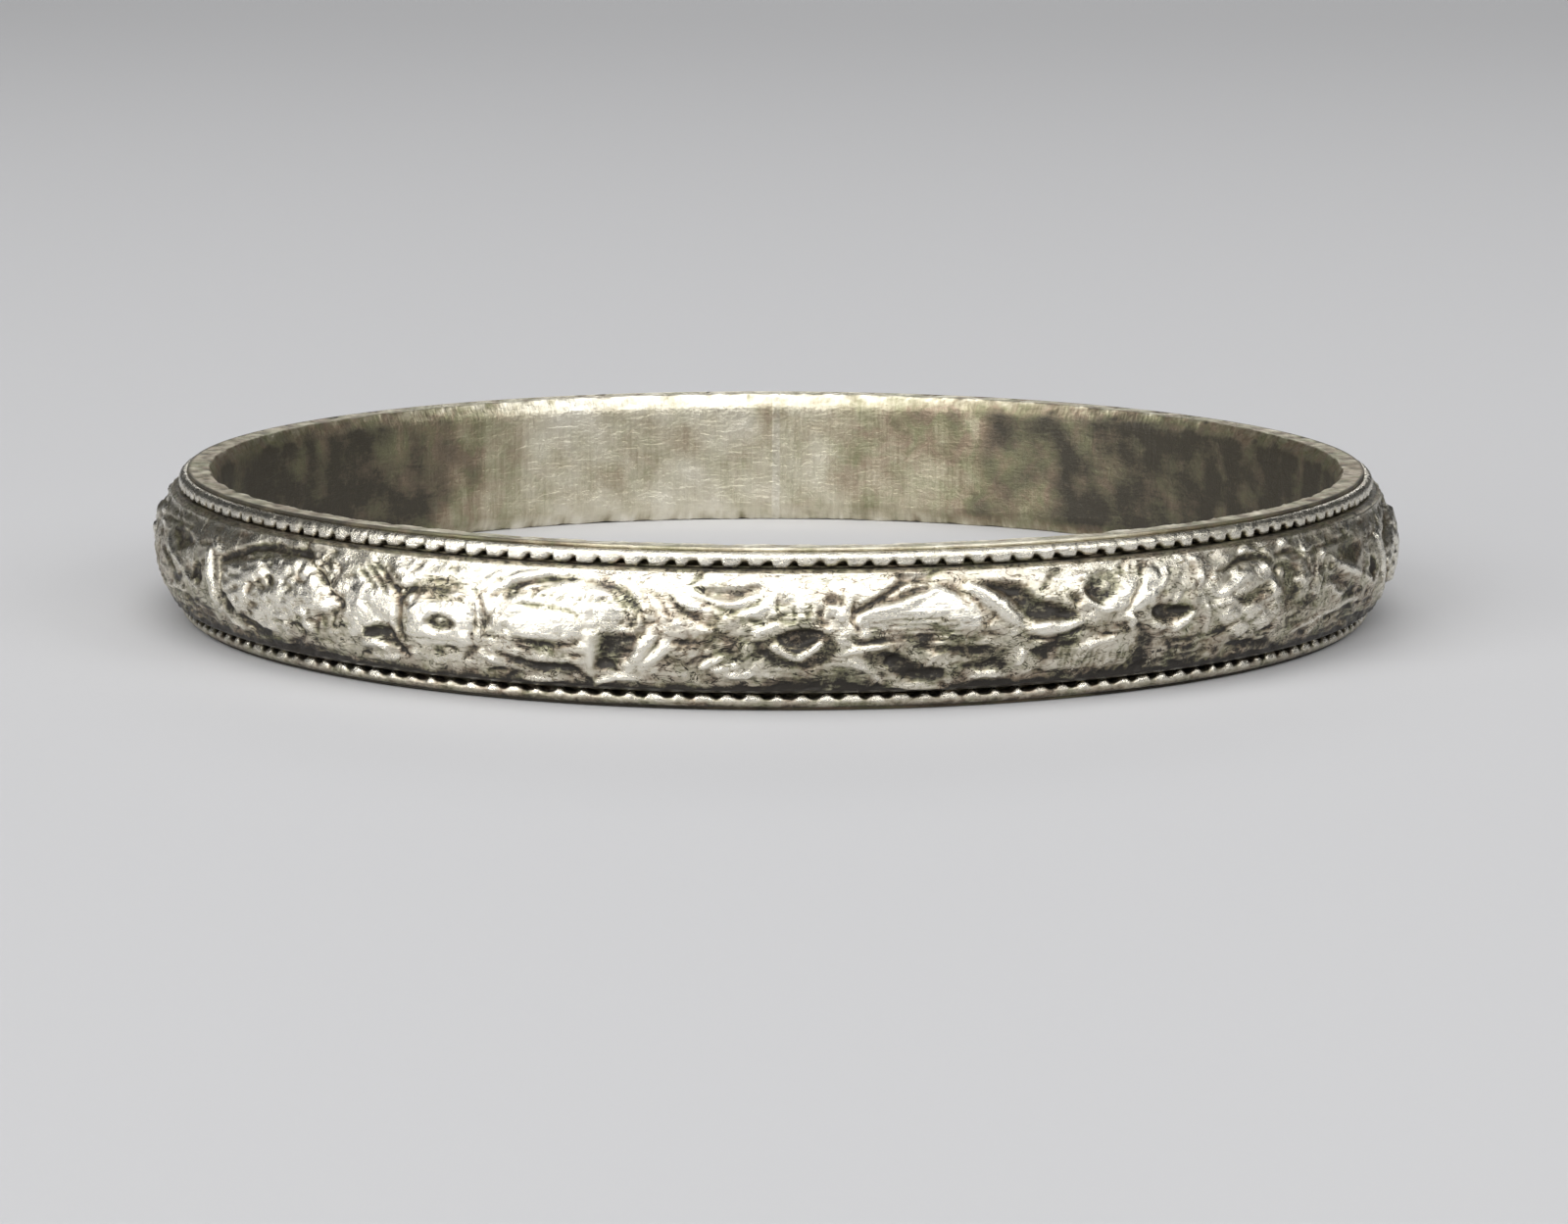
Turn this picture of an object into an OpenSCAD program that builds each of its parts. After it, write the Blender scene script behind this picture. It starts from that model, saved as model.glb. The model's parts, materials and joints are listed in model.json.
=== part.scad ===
// Narrow domed wedding band, built up at the bench and soldered.
// The ring lies flat: z = 0 is its lower edge face, and the finger goes along +Z.
// Section from the finger outwards: shank, then the floral strip round its middle,
// with a beaded milgrain wire in a cove along each edge. A thin seam of solder
// closes each of those four rings.

/* [Ring size] */
// Inside diameter, which sets the finger size
bore_d = 17; // [14:0.1:22]
// Width of the band along the finger
band_w = 2.2; // [2:0.1:3]

/* [Shank] */
// Wall thickness of the shank
shank_t = 0.45; // [0.4:0.05:0.6]
// How far the comfort bevel at each end of the bore reaches outwards
bevel_out = 0.12; // [0.05:0.01:0.2]
// How far that bevel reaches into the bore
bevel_in = 0.22; // [0.1:0.01:0.4]

/* [Floral strip] */
// Thickness of the strip at the top of its dome
crown_t = 0.55; // [0.5:0.05:0.8]
// Thickness of the strip at its two edges
strip_edge_t = 0.28; // [0.2:0.01:0.35]
// From each edge face of the band to the strip's own edge
strip_margin = 0.27; // [0.27:0.01:0.34]
// How many times the flower repeats round the band
flowers = 11; // [6:1:14]
// Depth of the cut lines
cut_depth = 0.09; // [0.04:0.01:0.12]
// Where the first flower stands, in degrees round the band
first_flower = 272; // [0:0.5:360]

/* [Milgrain wires] */
// Diameter of each wire
wire_d = 0.2; // [0.16:0.01:0.2]
// From the edge face of the band to the middle of the wire
wire_in = 0.15; // [0.13:0.01:0.15]
// How far the middle of the wire stands outside the shank
wire_out = 0.02; // [0:0.01:0.04]
// Beads on each wire
beads = 172; // [120:1:200]

/* [Solder seams] */
// Width of each seam, measured round the bore
seam_w = 0.12; // [0.08:0.01:0.15]

/* [Hidden] */

bore_r = bore_d / 2;
seat_r = bore_r + shank_t;
crown_r = seat_r + crown_t;
mid_z = band_w / 2;

// the dome is an arc through both top edges of the strip and its crown
half_chord = mid_z - strip_margin;
rise = crown_t - strip_edge_t;
dome_r = (half_chord * half_chord + rise * rise) / (2 * rise);
dome_axis_r = crown_r - dome_r;

wire_r = seat_r + wire_out;
lower_wire_z = wire_in;
upper_wire_z = band_w - wire_in;

bead_pitch = 360 / beads;
notch_r = 0.08;

seam_deg = seam_w / bore_r * 180 / PI;
shank_seam_at = 90;
strip_seam_at = 254.7;
upper_seam_at = 268.5;
lower_seam_at = 40;

WHITE_GOLD = [0.80, 0.78, 0.72];
LINING_GOLD = [0.74, 0.72, 0.64];
SOLDER = [0.66, 0.65, 0.61];

// ---- sections, drawn with x as the radius and y as the height ----

module wire_section(z) {
    translate([wire_r, z]) circle(d = wire_d, $fn = 48);
}

module shank_section() {
    difference() {
        polygon([
            [bore_r, bevel_in],
            [bore_r + bevel_out, 0],
            [seat_r, 0],
            [seat_r, band_w],
            [bore_r + bevel_out, band_w],
            [bore_r, band_w - bevel_in]
        ]);
        wire_section(lower_wire_z);
        wire_section(upper_wire_z);
    }
}

module strip_section() {
    intersection() {
        translate([dome_axis_r, mid_z]) circle(r = dome_r, $fn = 160);
        translate([seat_r, strip_margin]) square([crown_t + 1, band_w - 2 * strip_margin]);
    }
}

// ---- a ring bent round from a length of stock, and the solder that closes it ----

module bent_ring(seam_at) {
    rotate([0, 0, seam_at + seam_deg / 2])
        rotate_extrude(angle = 360 - seam_deg, $fn = 360) children();
}

module seam(seam_at) {
    rotate([0, 0, seam_at - seam_deg / 2])
        rotate_extrude(angle = seam_deg, $fn = 360) children();
}

// ---- the cut lines of one flower ----

// Radius of the dome's surface at a height above the middle of the band
function dome_at(up) = dome_axis_r + sqrt(dome_r * dome_r - up * up);

// Places a drawing on the dome, facing outwards, and cuts it in to cut_depth
module cut_into_dome(turn, up, slant = 0) {
    rotate([0, 0, turn])
        translate([dome_at(up) - cut_depth, 0, mid_z + up])
            rotate([90, 0, 90]) rotate(slant)
                linear_extrude(height = 1) children();
}

module leaf(length, width) {
    arc_r = (length * length + width * width) / (4 * width);
    intersection() {
        translate([0, arc_r - width / 2]) circle(r = arc_r, $fn = 64);
        translate([0, width / 2 - arc_r]) circle(r = arc_r, $fn = 64);
    }
}

module crescent(length, width, bite) {
    difference() {
        leaf(length, width);
        translate([0, -bite]) leaf(length, width);
    }
}

// A round boss with an eye-shaped hollow in its middle
module flower_eye() {
    difference() {
        circle(d = 0.84, $fn = 48);
        circle(d = 0.74, $fn = 48);
    }
    leaf(0.56, 0.26);
}

// Angles are from the eye of the flower, and heights from the middle of the band
module flower_cuts() {
    cut_into_dome(0, 0) flower_eye();
    cut_into_dome(-6.5, 0.48) crescent(0.96, 0.32, -0.12);
    cut_into_dome(-6, -0.34, 12) leaf(0.5, 0.14);
    cut_into_dome(11, 0.3, -3) crescent(2.2, 0.6, 0.1);
    cut_into_dome(11, -0.36, 3) crescent(1.9, 0.36, -0.08);
    cut_into_dome(19.5, 0.24, -48) crescent(0.95, 0.36, 0.16);
    cut_into_dome(21.5, -0.06, 3) leaf(0.7, 0.16);
}

// ---- the pieces ----

module shank() {
    color(LINING_GOLD) bent_ring(shank_seam_at) shank_section();
}

module floral_strip() {
    color(WHITE_GOLD) difference() {
        bent_ring(strip_seam_at) strip_section();
        for (i = [0 : flowers - 1])
            rotate([0, 0, first_flower + i * 360 / flowers]) flower_cuts();
    }
}

// The beads are what is left between round notches cut in from the side that faces the strip,
// which is at strip_side, and the seam falls within one bead
module milgrain_wire(z, strip_side, seam_at) {
    color(WHITE_GOLD) difference() {
        bent_ring(seam_at) wire_section(z);
        for (i = [0 : beads - 1])
            rotate([0, 0, seam_at + (i + 0.5) * bead_pitch])
                translate([wire_r - wire_d, 0, strip_side])
                    rotate([0, 90, 0]) cylinder(r = notch_r, h = 2 * wire_d, $fn = 24);
    }
}

module upper_milgrain_wire() {
    milgrain_wire(upper_wire_z, upper_wire_z - wire_d / 2, upper_seam_at);
}

module lower_milgrain_wire() {
    milgrain_wire(lower_wire_z, lower_wire_z + wire_d / 2, lower_seam_at);
}

module shank_solder_seam() {
    color(SOLDER) seam(shank_seam_at) shank_section();
}

module strip_solder_seam() {
    color(SOLDER) seam(strip_seam_at) strip_section();
}

module upper_wire_solder_seam() {
    color(SOLDER) seam(upper_seam_at) wire_section(upper_wire_z);
}

module lower_wire_solder_seam() {
    color(SOLDER) seam(lower_seam_at) wire_section(lower_wire_z);
}

shank();
floral_strip();
upper_milgrain_wire();
lower_milgrain_wire();
shank_solder_seam();
strip_solder_seam();
upper_wire_solder_seam();
lower_wire_solder_seam();
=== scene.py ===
"""Looks of a narrow domed wedding band: plain shank, floral strip and two milgrain wires, soldered up.

Lengths are in millimetres in the row's frame until a mesh is made, and then in metres. A turn is an
angle round the band in degrees: 0 is the front, at -Y, and it grows towards +X.
"""

import json
import math

import bpy
import numpy as np
from mathutils import Matrix, Vector


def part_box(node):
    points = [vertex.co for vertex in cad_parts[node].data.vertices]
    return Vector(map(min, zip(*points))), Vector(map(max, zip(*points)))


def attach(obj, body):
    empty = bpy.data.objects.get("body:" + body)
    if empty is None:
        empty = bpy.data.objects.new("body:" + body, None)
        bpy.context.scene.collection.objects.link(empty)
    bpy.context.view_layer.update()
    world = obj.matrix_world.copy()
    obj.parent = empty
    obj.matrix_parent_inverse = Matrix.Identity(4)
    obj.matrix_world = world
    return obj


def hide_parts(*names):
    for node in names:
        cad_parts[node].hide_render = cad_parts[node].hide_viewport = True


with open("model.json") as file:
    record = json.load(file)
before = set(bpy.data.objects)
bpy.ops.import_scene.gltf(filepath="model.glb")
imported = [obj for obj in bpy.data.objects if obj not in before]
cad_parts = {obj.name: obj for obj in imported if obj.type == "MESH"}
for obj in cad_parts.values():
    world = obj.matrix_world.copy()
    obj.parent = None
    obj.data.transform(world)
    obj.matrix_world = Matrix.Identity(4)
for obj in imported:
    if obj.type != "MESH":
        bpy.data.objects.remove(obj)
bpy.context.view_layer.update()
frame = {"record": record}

MM = 0.001
mounts = {m["name"]: m for m in frame["record"]["mounts"]}


def box_mm(node):
    """Lowest and highest corners of a CAD node at rest."""
    low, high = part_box(node)
    return np.array(low) / MM, np.array(high) / MM


# ---- sizes, worked out from the frame ----

bore_r = mounts["finger_bore"]["dims"]["r_mm"]
bore_length = mounts["finger_bore"]["dims"]["length_mm"]
shank_low, shank_high = box_mm("shank")
strip_low, strip_high = box_mm("floral_strip")
wire_low, wire_high = box_mm("upper_milgrain_wire")

band_w = shank_high[2] - shank_low[2]
mid_z = band_w / 2
seat_r = shank_high[0]
crown_r = strip_high[0]
strip_half = (strip_high[2] - strip_low[2]) / 2
bevel_in = (band_w - bore_length) / 2
wire_rad = (wire_high[2] - wire_low[2]) / 2
wire_r = wire_high[0] - wire_rad
wire_in = band_w - (wire_high[2] + wire_low[2]) / 2
MM_PER_DEG = crown_r * math.pi / 180

# the three sizes that no box shows are the same as in the CAD
strip_edge_t = 0.28
bevel_out = 0.12
BEADS = 172

# the dome is an arc through both top edges of the strip and its crown
rise = crown_r - seat_r - strip_edge_t
dome_r = (strip_half**2 + rise**2) / (2 * rise)
dome_axis_r = crown_r - dome_r


def seam_turn(node):
    """The turn at the middle of a solder seam."""
    low, high = box_mm(node)
    x, y = ((low + high) / 2)[:2]
    return math.degrees(math.atan2(x, -y))


# how much wider a seam is than the gap that it fills
SEAM_LAP = 1.35

seam_box = box_mm("shank_solder_seam")
seam_half = math.degrees(math.asin((seam_box[1][0] - seam_box[0][0]) / 2 / seat_r))


def open_turns(seam_at, count):
    """Turns of a ring that starts and ends at its solder seam."""
    return np.linspace(seam_at + seam_half, seam_at + 360 - seam_half, count)


def seam_turns(seam_at, count):
    """Turns of a solder seam, which laps a little over the two ends that it joins."""
    return seam_at + SEAM_LAP * seam_half * np.linspace(-1, 1, count)


# ---- ring meshes ----

def put_in_scene(name, data):
    obj = bpy.data.objects.new(name, data)
    bpy.context.scene.collection.objects.link(obj)
    return obj


def ring_mesh(name, turns, loop_r, loop_z, tone):
    """A solid swept round the finger's axis and closed by a flat face at each end.

    loop_r and loop_z hold one section for each turn, its points running up the outside and down the bore.
    tone is kept on the points: up to 1 where the metal is worn bright and where a highlight is painted, down
    to -1 where it is tarnished and where shade is painted."""
    n, m = loop_r.shape
    t = np.radians(turns)[:, None]
    place = np.stack([loop_r * np.sin(t), -loop_r * np.cos(t), loop_z], -1).reshape(-1, 3) * MM
    i, j = np.meshgrid(np.arange(n - 1), np.arange(m), indexing="ij")
    after = (j + 1) % m
    quads = np.stack([i * m + j, (i + 1) * m + j, (i + 1) * m + after, i * m + after], -1).reshape(-1, 4)
    first_cap = list(range(m))
    last_cap = [(n - 1) * m + k for k in range(m - 1, -1, -1)]
    mesh = bpy.data.meshes.new(name)
    mesh.from_pydata(place.tolist(), [], quads.tolist() + [first_cap, last_cap])
    mesh.shade_smooth()
    for cap in mesh.polygons[-2:]:
        cap.use_smooth = False
        for corner in cap.loop_indices:
            mesh.edges[mesh.loops[corner].edge_index].use_edge_sharp = True
    layer = mesh.attributes.new("tone", "FLOAT", "POINT")
    layer.data.foreach_set("value", (tone * np.ones_like(loop_r)).astype(np.float32).ravel())
    around = np.repeat(np.asarray(turns) * MM_PER_DEG, m)
    wrap = np.stack([around, loop_z.ravel(), loop_r.ravel()], -1)
    layer = mesh.attributes.new("wrap", "FLOAT_VECTOR", "POINT")
    layer.data.foreach_set("vector", wrap.astype(np.float32).ravel())
    return put_in_scene(name, mesh)


def ramp(value, start, length):
    """0 until value has passed start, then growing to 1 over length."""
    return np.clip((value - start) / length, 0, 1)


WAVES = 26


def ripples(turns, up, size, seed, stretch=1.0):
    """Smooth random unevenness of about unit height. Its bumps are about size across, and round the band
    they are stretch times as long."""
    rng = np.random.default_rng(seed)
    t = np.radians(turns)[:, None]
    total = np.zeros((len(turns), np.shape(up)[-1]))
    for _ in range(WAVES):
        heading = rng.uniform(0, math.pi)
        pitch = size * rng.uniform(0.7, 1.5)
        around = round(2 * math.pi * crown_r / pitch * math.cos(heading) / stretch)
        along = 2 * math.pi / pitch * math.sin(heading)
        total += np.cos(around * t + along * up + rng.uniform(0, 2 * math.pi))
    return total * math.sqrt(2 / WAVES)


def uneven(turns, up, layers):
    """Layers of ripples added up. Each has a height, a size, a seed and, unless it is 1, a stretch."""
    return sum(height * ripples(turns, up, *kind) for height, *kind in layers)


# ---- tools that work the floral strip ----

CURVE_STEPS = 6


def smooth_path(points, closed=False):
    """A Catmull-Rom curve through points."""
    p = np.array(points, float)
    p = np.vstack([p[-1:], p, p[:2]]) if closed else np.vstack([2 * p[0] - p[1], p, 2 * p[-1] - p[-2]])
    out = []
    for a, b, c, d in zip(p[:-3], p[1:-2], p[2:-1], p[3:]):
        for s in np.arange(CURVE_STEPS) / CURVE_STEPS:
            out.append(0.5 * (2 * b + (c - a) * s + (2 * a - 5 * b + 4 * c - d) * s**2
                              + (3 * b - a - 3 * c + d) * s**3))
    if not closed:
        out.append(p[-2])
    return np.array(out)


def nearest(path, x, y, closed=False):
    """Distance to a path, and how far along it that is, from 0 to 1."""
    ends = np.roll(path, -1, 0) if closed else path[1:]
    starts = path if closed else path[:-1]
    best = np.full(x.shape, 1e9)
    along = np.zeros(x.shape)
    for k, (p, q) in enumerate(zip(starts, ends)):
        d = q - p
        t = np.clip(((x - p[0]) * d[0] + (y - p[1]) * d[1]) / max(d @ d, 1e-12), 0, 1)
        gap = np.hypot(x - p[0] - t * d[0], y - p[1] - t * d[1])
        closer = gap < best
        best[closer] = gap[closer]
        along[closer] = ((k + t) / len(starts))[closer]
    return best, along


def inside(path, x, y):
    """Which points lie inside a closed path."""
    hit = np.zeros(x.shape, bool)
    for p, q in zip(path, np.roll(path, -1, 0)):
        crosses = (p[1] > y) != (q[1] > y)
        slope = (q[0] - p[0]) / (q[1] - p[1] if q[1] != p[1] else 1e-12)
        hit ^= crosses & (x < p[0] + (y - p[1]) * slope)
    return hit


# what is drawn lower than this under mid-band is spread downwards, by this share of how much lower it is
LOW_START = 0.3
LOW_SPREAD = 0.22

# the finest cut and ridge, and how much wider, deeper and higher than drawn they all are, so that wear
# leaves them
FINEST_CUT, FINEST_RIDGE = 0.06, 0.085
WIDER, DEEPER, HIGHER = 1.1, 1.4, 1.3

# how thin a stroke is at its ends, how fast its tone covers what was there, and how unsteady the hand is
THIN_END = 0.3
COVER = 2.2
STROKE_SHAKE, AREA_SHAKE = 0.006, 0.008


# the drawings of flowers and leaves give heights, widths and depths in hundredths of a millimetre
PER_MM = 100


def in_mm(drawing):
    """The points of a drawing, each (degrees round the band, height), with the heights in millimetres."""
    return np.array(drawing, float) / [1, PER_MM]


class Relief:
    """The height of the worked surface over the smooth dome, and its tone.

    Points are (degrees on from the turn self.at, height over mid-band). tone is as in ring_mesh. What window,
    paint and stroke are given is in millimetres, and what the other tools are given is as in a drawing."""

    def __init__(self, turns, heights, seed):
        self.turns, self.heights = np.asarray(turns), np.asarray(heights)
        self.up = np.zeros((len(turns), len(heights)))
        self.tone = np.zeros_like(self.up)
        self.rng = np.random.default_rng(seed)
        self.at = 0.0

    def window(self, points, reach, shake):
        """The points in millimetres, a little unsteady, and the part of the surface within reach of them."""
        p = np.array(points, float) * [MM_PER_DEG, 1]
        p[:, 1] -= LOW_SPREAD * np.clip(-p[:, 1] - LOW_START, 0, None)
        p += self.rng.normal(0, shake, p.shape)
        x = ((self.turns - self.at + 180) % 360 - 180) * MM_PER_DEG
        cols = np.flatnonzero((x > p[:, 0].min() - reach) & (x < p[:, 0].max() + reach))
        rows = np.flatnonzero((self.heights > p[:, 1].min() - reach) & (self.heights < p[:, 1].max() + reach))
        gx, gy = np.meshgrid(x[cols], self.heights[rows], indexing="ij")
        return p, np.ix_(cols, rows), gx, gy

    def paint(self, where, form, up, tone):
        """Raises the surface by up, and brings its tone towards tone, both by form's share from 0 to 1."""
        self.up[where] += up * form
        cover = np.clip(form * COVER, 0, 1) * abs(tone)
        self.tone[where] += (np.sign(tone) - self.tone[where]) * cover

    def stroke(self, points, width, up, tone, ends="both"):
        """A burin cut where up is below 0, or else a raised line. ends says which of its ends are thin."""
        p, where, x, y = self.window(points, width, STROKE_SHAKE)
        gap, along = nearest(smooth_path(p), x, y)
        swell = {"both": np.sin(math.pi * along), "end": 1 - along, "none": np.ones_like(along)}[ends]
        swell = THIN_END + (1 - THIN_END) * np.clip(swell, 0, 1) ** 0.6
        form = np.clip(1 - (gap / (width / 2 * swell)) ** 2, 0, 1) * swell
        self.paint(where, form, up, tone)

    def cut(self, points, width, depth, tone, ends="both"):
        width = max(width / PER_MM * WIDER, FINEST_CUT)
        self.stroke(in_mm(points), width, -depth / PER_MM * DEEPER, tone, ends)

    def ridge(self, points, width, height, tone=0.8, ends="both"):
        width = max(width / PER_MM * WIDER, FINEST_RIDGE)
        self.stroke(in_mm(points), width, height / PER_MM * HIGHER, tone, ends)

    def area(self, points, edge):
        """How far inside an outline each point is, from 0 at its edge to 1 where it is edge deep, and how
        high in the outline it is, from -1 to 1."""
        margin = 0.05
        p, where, x, y = self.window(in_mm(points), margin, AREA_SHAKE)
        path = smooth_path(p, closed=True)
        gap, _ = nearest(path, x, y, closed=True)
        deep = np.where(inside(path, x, y), gap, 0)
        middle = (path[:, 1].min() + path[:, 1].max()) / 2
        half = (path[:, 1].max() - path[:, 1].min()) / 2
        return where, np.clip(deep / (edge / PER_MM), 0, 1), np.clip((y - middle) / half, -1, 1)

    def pillow(self, points, height, edge, tone):
        """A raised shape with a rounded edge."""
        where, t, _ = self.area(points, edge)
        self.paint(where, np.sqrt(1 - (1 - t) ** 2), height / PER_MM, tone)

    def hollow(self, points, depth, edge, tone, tilt=0.0):
        """A sunk shape. tilt deepens its top, so that its floor slopes up to its lower edge."""
        where, t, high = self.area(points, edge)
        form = t * t * (3 - 2 * t)
        self.up[where] -= depth / PER_MM * form * (1 + tilt * high)
        self.paint(where, np.clip(form * 2.5, 0, 1), 0.0, tone)

    def stipple(self, points, count, size, height, tone):
        """Small random lumps inside an outline."""
        p = smooth_path(in_mm(points) * [MM_PER_DEG, 1], closed=True)
        low, high = p.min(0), p.max(0)
        for _ in range(count):
            spot = self.rng.uniform(low, high)
            across = size / PER_MM * self.rng.uniform(0.6, 1.4)
            if inside(p, spot[:1], spot[1:])[0]:
                x, y = spot[0] / MM_PER_DEG, spot[1]
                reach = across / 2 / MM_PER_DEG
                lump = [(x - reach, y), (x, y + 0.01), (x + reach, y)]
                self.stroke(lump, across, height / PER_MM, tone, ends="none")

    def hatch(self, first, last, count, half, width, depth, tone):
        """Parallel cuts whose middles run from first to last, each reaching half either way."""
        a, b, h = np.array(first), np.array(last), np.array(half)
        for k in range(count):
            middle = a + (b - a) * k / (count - 1)
            self.cut([middle - h, middle + [0, 1], middle + h], width, depth, tone)


# ---- the flowers, each with its eye at 0 ----

def framed_flower(work):
    """A round flower between upright arcs, with a small pit for its eye and a light field at its left."""
    work.pillow([(-10.2, 10), (-9.2, 50), (-6.6, 36), (-4.9, 20), (-5, -10), (-7, -14), (-8.6, -30),
                 (-9.8, -40)], 1.5, 14, 0.75)
    work.pillow([(-3.4, 0), (-3, 18), (0, 25), (2.4, 20), (3, 0), (2.8, -32), (0, -36), (-3.2, -32)], 4.5, 16,
                0.95)
    work.cut([(-3.2, 26), (-1, 30), (1, 30), (2.9, 22)], 3.5, 2, -0.45)
    work.cut([(-3.6, -27), (-1, -29), (2.6, -26)], 4.5, 2, -0.5)
    work.hollow([(-1.8, -2), (-0.8, 8), (0, 12), (0.9, 6), (1.8, -3), (0.8, -14), (-0.8, -15)], 6, 6, -0.8)
    work.pillow([(-0.7, 0), (0, 5), (0.7, 0), (0, -8)], 3, 5, 0.3)
    work.hollow([(-3.9, 34), (-2.2, 51), (0.2, 54), (1.9, 44), (0.6, 34), (-1.4, 34)], 3, 8, -0.45)
    work.hatch((-2.8, 40), (0.2, 42), 6, (0.2, 6), 3.5, 2, -0.6)
    work.cut([(-3.8, 36), (-2.2, 52), (0.2, 55), (1.6, 50)], 4.5, 3.5, -0.7)
    work.cut([(-3.1, 42), (-4.1, 24), (-4.2, -10), (-3.8, -36)], 7.5, 4.5, -0.8)
    work.cut([(-5, 46), (-4.7, 34), (-4.2, 22)], 9, 5, -0.9)
    work.cut([(-5.4, -12), (-5.2, -28), (-4.4, -44), (-3.8, -56)], 8, 4, -0.9)
    work.ridge([(-4.9, 10), (-4.9, -4), (-4.8, -16)], 10, 2, 0.9)
    work.cut([(1.4, 50), (2.8, 34), (3.1, 0), (2.7, -45)], 4.5, 4, -0.75)
    work.cut([(1.9, 56), (3.3, 38), (4.1, 10), (3.9, -16)], 4.5, 4, -0.75)
    work.ridge([(2.2, 50), (3.2, 30), (3.5, 5)], 5, 2)
    work.hatch((-8, 46), (-5.8, 50), 3, (1.3, -15), 7.5, 3.5, -0.95)
    work.hatch((-7.6, 58), (-5.6, 62), 3, (1.1, -12), 6, 3, -0.8)
    work.hollow([(-8.4, -34), (-7, -18), (-5.4, -18), (-5, -26), (-6.4, -34)], 5, 5, -1, 0.3)
    work.ridge([(-8.8, -46), (-7.2, -42), (-5.8, -49)], 14, 6, 1)
    work.cut([(-6, -34), (-4.9, -42), (-3.6, -54)], 6, 4, -0.8)
    work.ridge([(-8, -58), (-6.4, -60), (-4.6, -55)], 7, 2.5)
    work.ridge([(3.3, -42), (4.4, -47), (5.2, -44)], 10, 3.5)


def open_flower(work):
    """A flower with a deep eye, stamens over it and a petal that curls over a hollow at its left."""
    work.hollow([(-4, -18), (-2.4, 0), (0, 12), (2, 7), (3.1, -14), (2.2, -36), (0, -44), (-2.6, -38)], 2.5,
                12, -0.7)
    work.hollow([(-1.9, -6), (-0.9, 7), (0.4, 12), (1.8, 7), (1.5, -8), (0.2, -22), (-0.9, -20)], 9, 5, -1)
    work.hatch((-1.4, 19), (2, 17), 5, (0.5, 2), 7, 2, -0.6)
    work.ridge([(-2.1, -17), (-1.2, -27), (-0.3, -33), (0.7, -25), (1.6, -11)], 9, 4.5, 1, ends="none")
    work.cut([(-3.2, -26), (-1.6, -38), (0.2, -42), (2, -36), (3.1, -18)], 8, 3, -0.8)
    for x, lean in ((-2.6, -0.5), (-1.5, -0.3), (-0.5, 0), (0.6, 0.3), (1.5, 0.5), (2.4, 0.8)):
        work.cut([(x, 22), (x + lean * 0.4, 30), (x + lean, 40)], 4, 2, -0.6)
    work.ridge([(-0.1, 56), (0.1, 42), (0.1, 26)], 6, 2)
    work.ridge([(-4.1, -2), (-2.8, 10), (-1.6, 17)], 7, 3, 0.9)
    work.hollow([(1.8, 45), (2.4, 60), (3.2, 56), (3, 42), (2.4, 40)], 4, 6, -0.8)
    work.ridge([(2.2, 38), (3, 33), (3.7, 16)], 12, 4.5, 1)
    work.cut([(4.6, 50), (4.2, 34), (4.3, 16), (4.9, 0)], 8, 5, -0.8)
    work.hollow([(-9.2, 64), (-6, 69), (-2.9, 67), (-3.8, 50), (-5.2, 39), (-6.6, 41), (-8, 53)], 6, 10, -0.5,
                0.5)
    work.ridge([(-7.2, 49), (-5.6, 43), (-4.2, 52), (-3.6, 60)], 9, 3.5, 1)
    work.cut([(-8.6, 50), (-6.8, 38), (-5.2, 34), (-3.6, 44), (-2.7, 62)], 5, 2.5, -0.7)
    work.ridge([(-10, 48), (-7.6, 30), (-5, 24), (-2.9, 38), (-2, 56)], 12, 2, 0.9)
    work.hatch((-9.6, 30), (-3.4, 20), 9, (0.8, -7), 5, 2.5, -0.7)
    work.hatch((-9.4, -14), (-4.4, -10), 8, (0.7, 12), 6, 3, -0.6)
    work.hatch((-8.6, -36), (-3.4, -32), 7, (0.8, 9), 5, 3, -0.6)
    work.ridge([(-8.2, -46), (-7.2, -38), (-6, -31)], 9, 5.5)
    work.ridge([(-7.2, -50), (-6, -44), (-5, -43)], 8, 5)
    work.ridge([(-5.8, -56), (-4.8, -54), (-3.7, -53)], 10, 7.5, 1)
    for k in range(4):
        y = -50 - 6 * k
        work.cut([(-2.4 - k, y), (0.6, y - 2), (3.6, y + 3), (6, y - 5)], 4, 2.2, -0.5)
    work.ridge([(3.2, -30), (4.6, -22), (7.2, -17)], 8, 5.5, 0.8)
    work.ridge([(3.3, -36), (4.9, -43), (6.2, -55), (6.9, -68)], 8, 5, 0.7)
    work.hollow([(4.6, -30), (6.8, -24), (9, -32), (8.2, -50), (6.6, -46)], 3, 8, -0.6)


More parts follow.
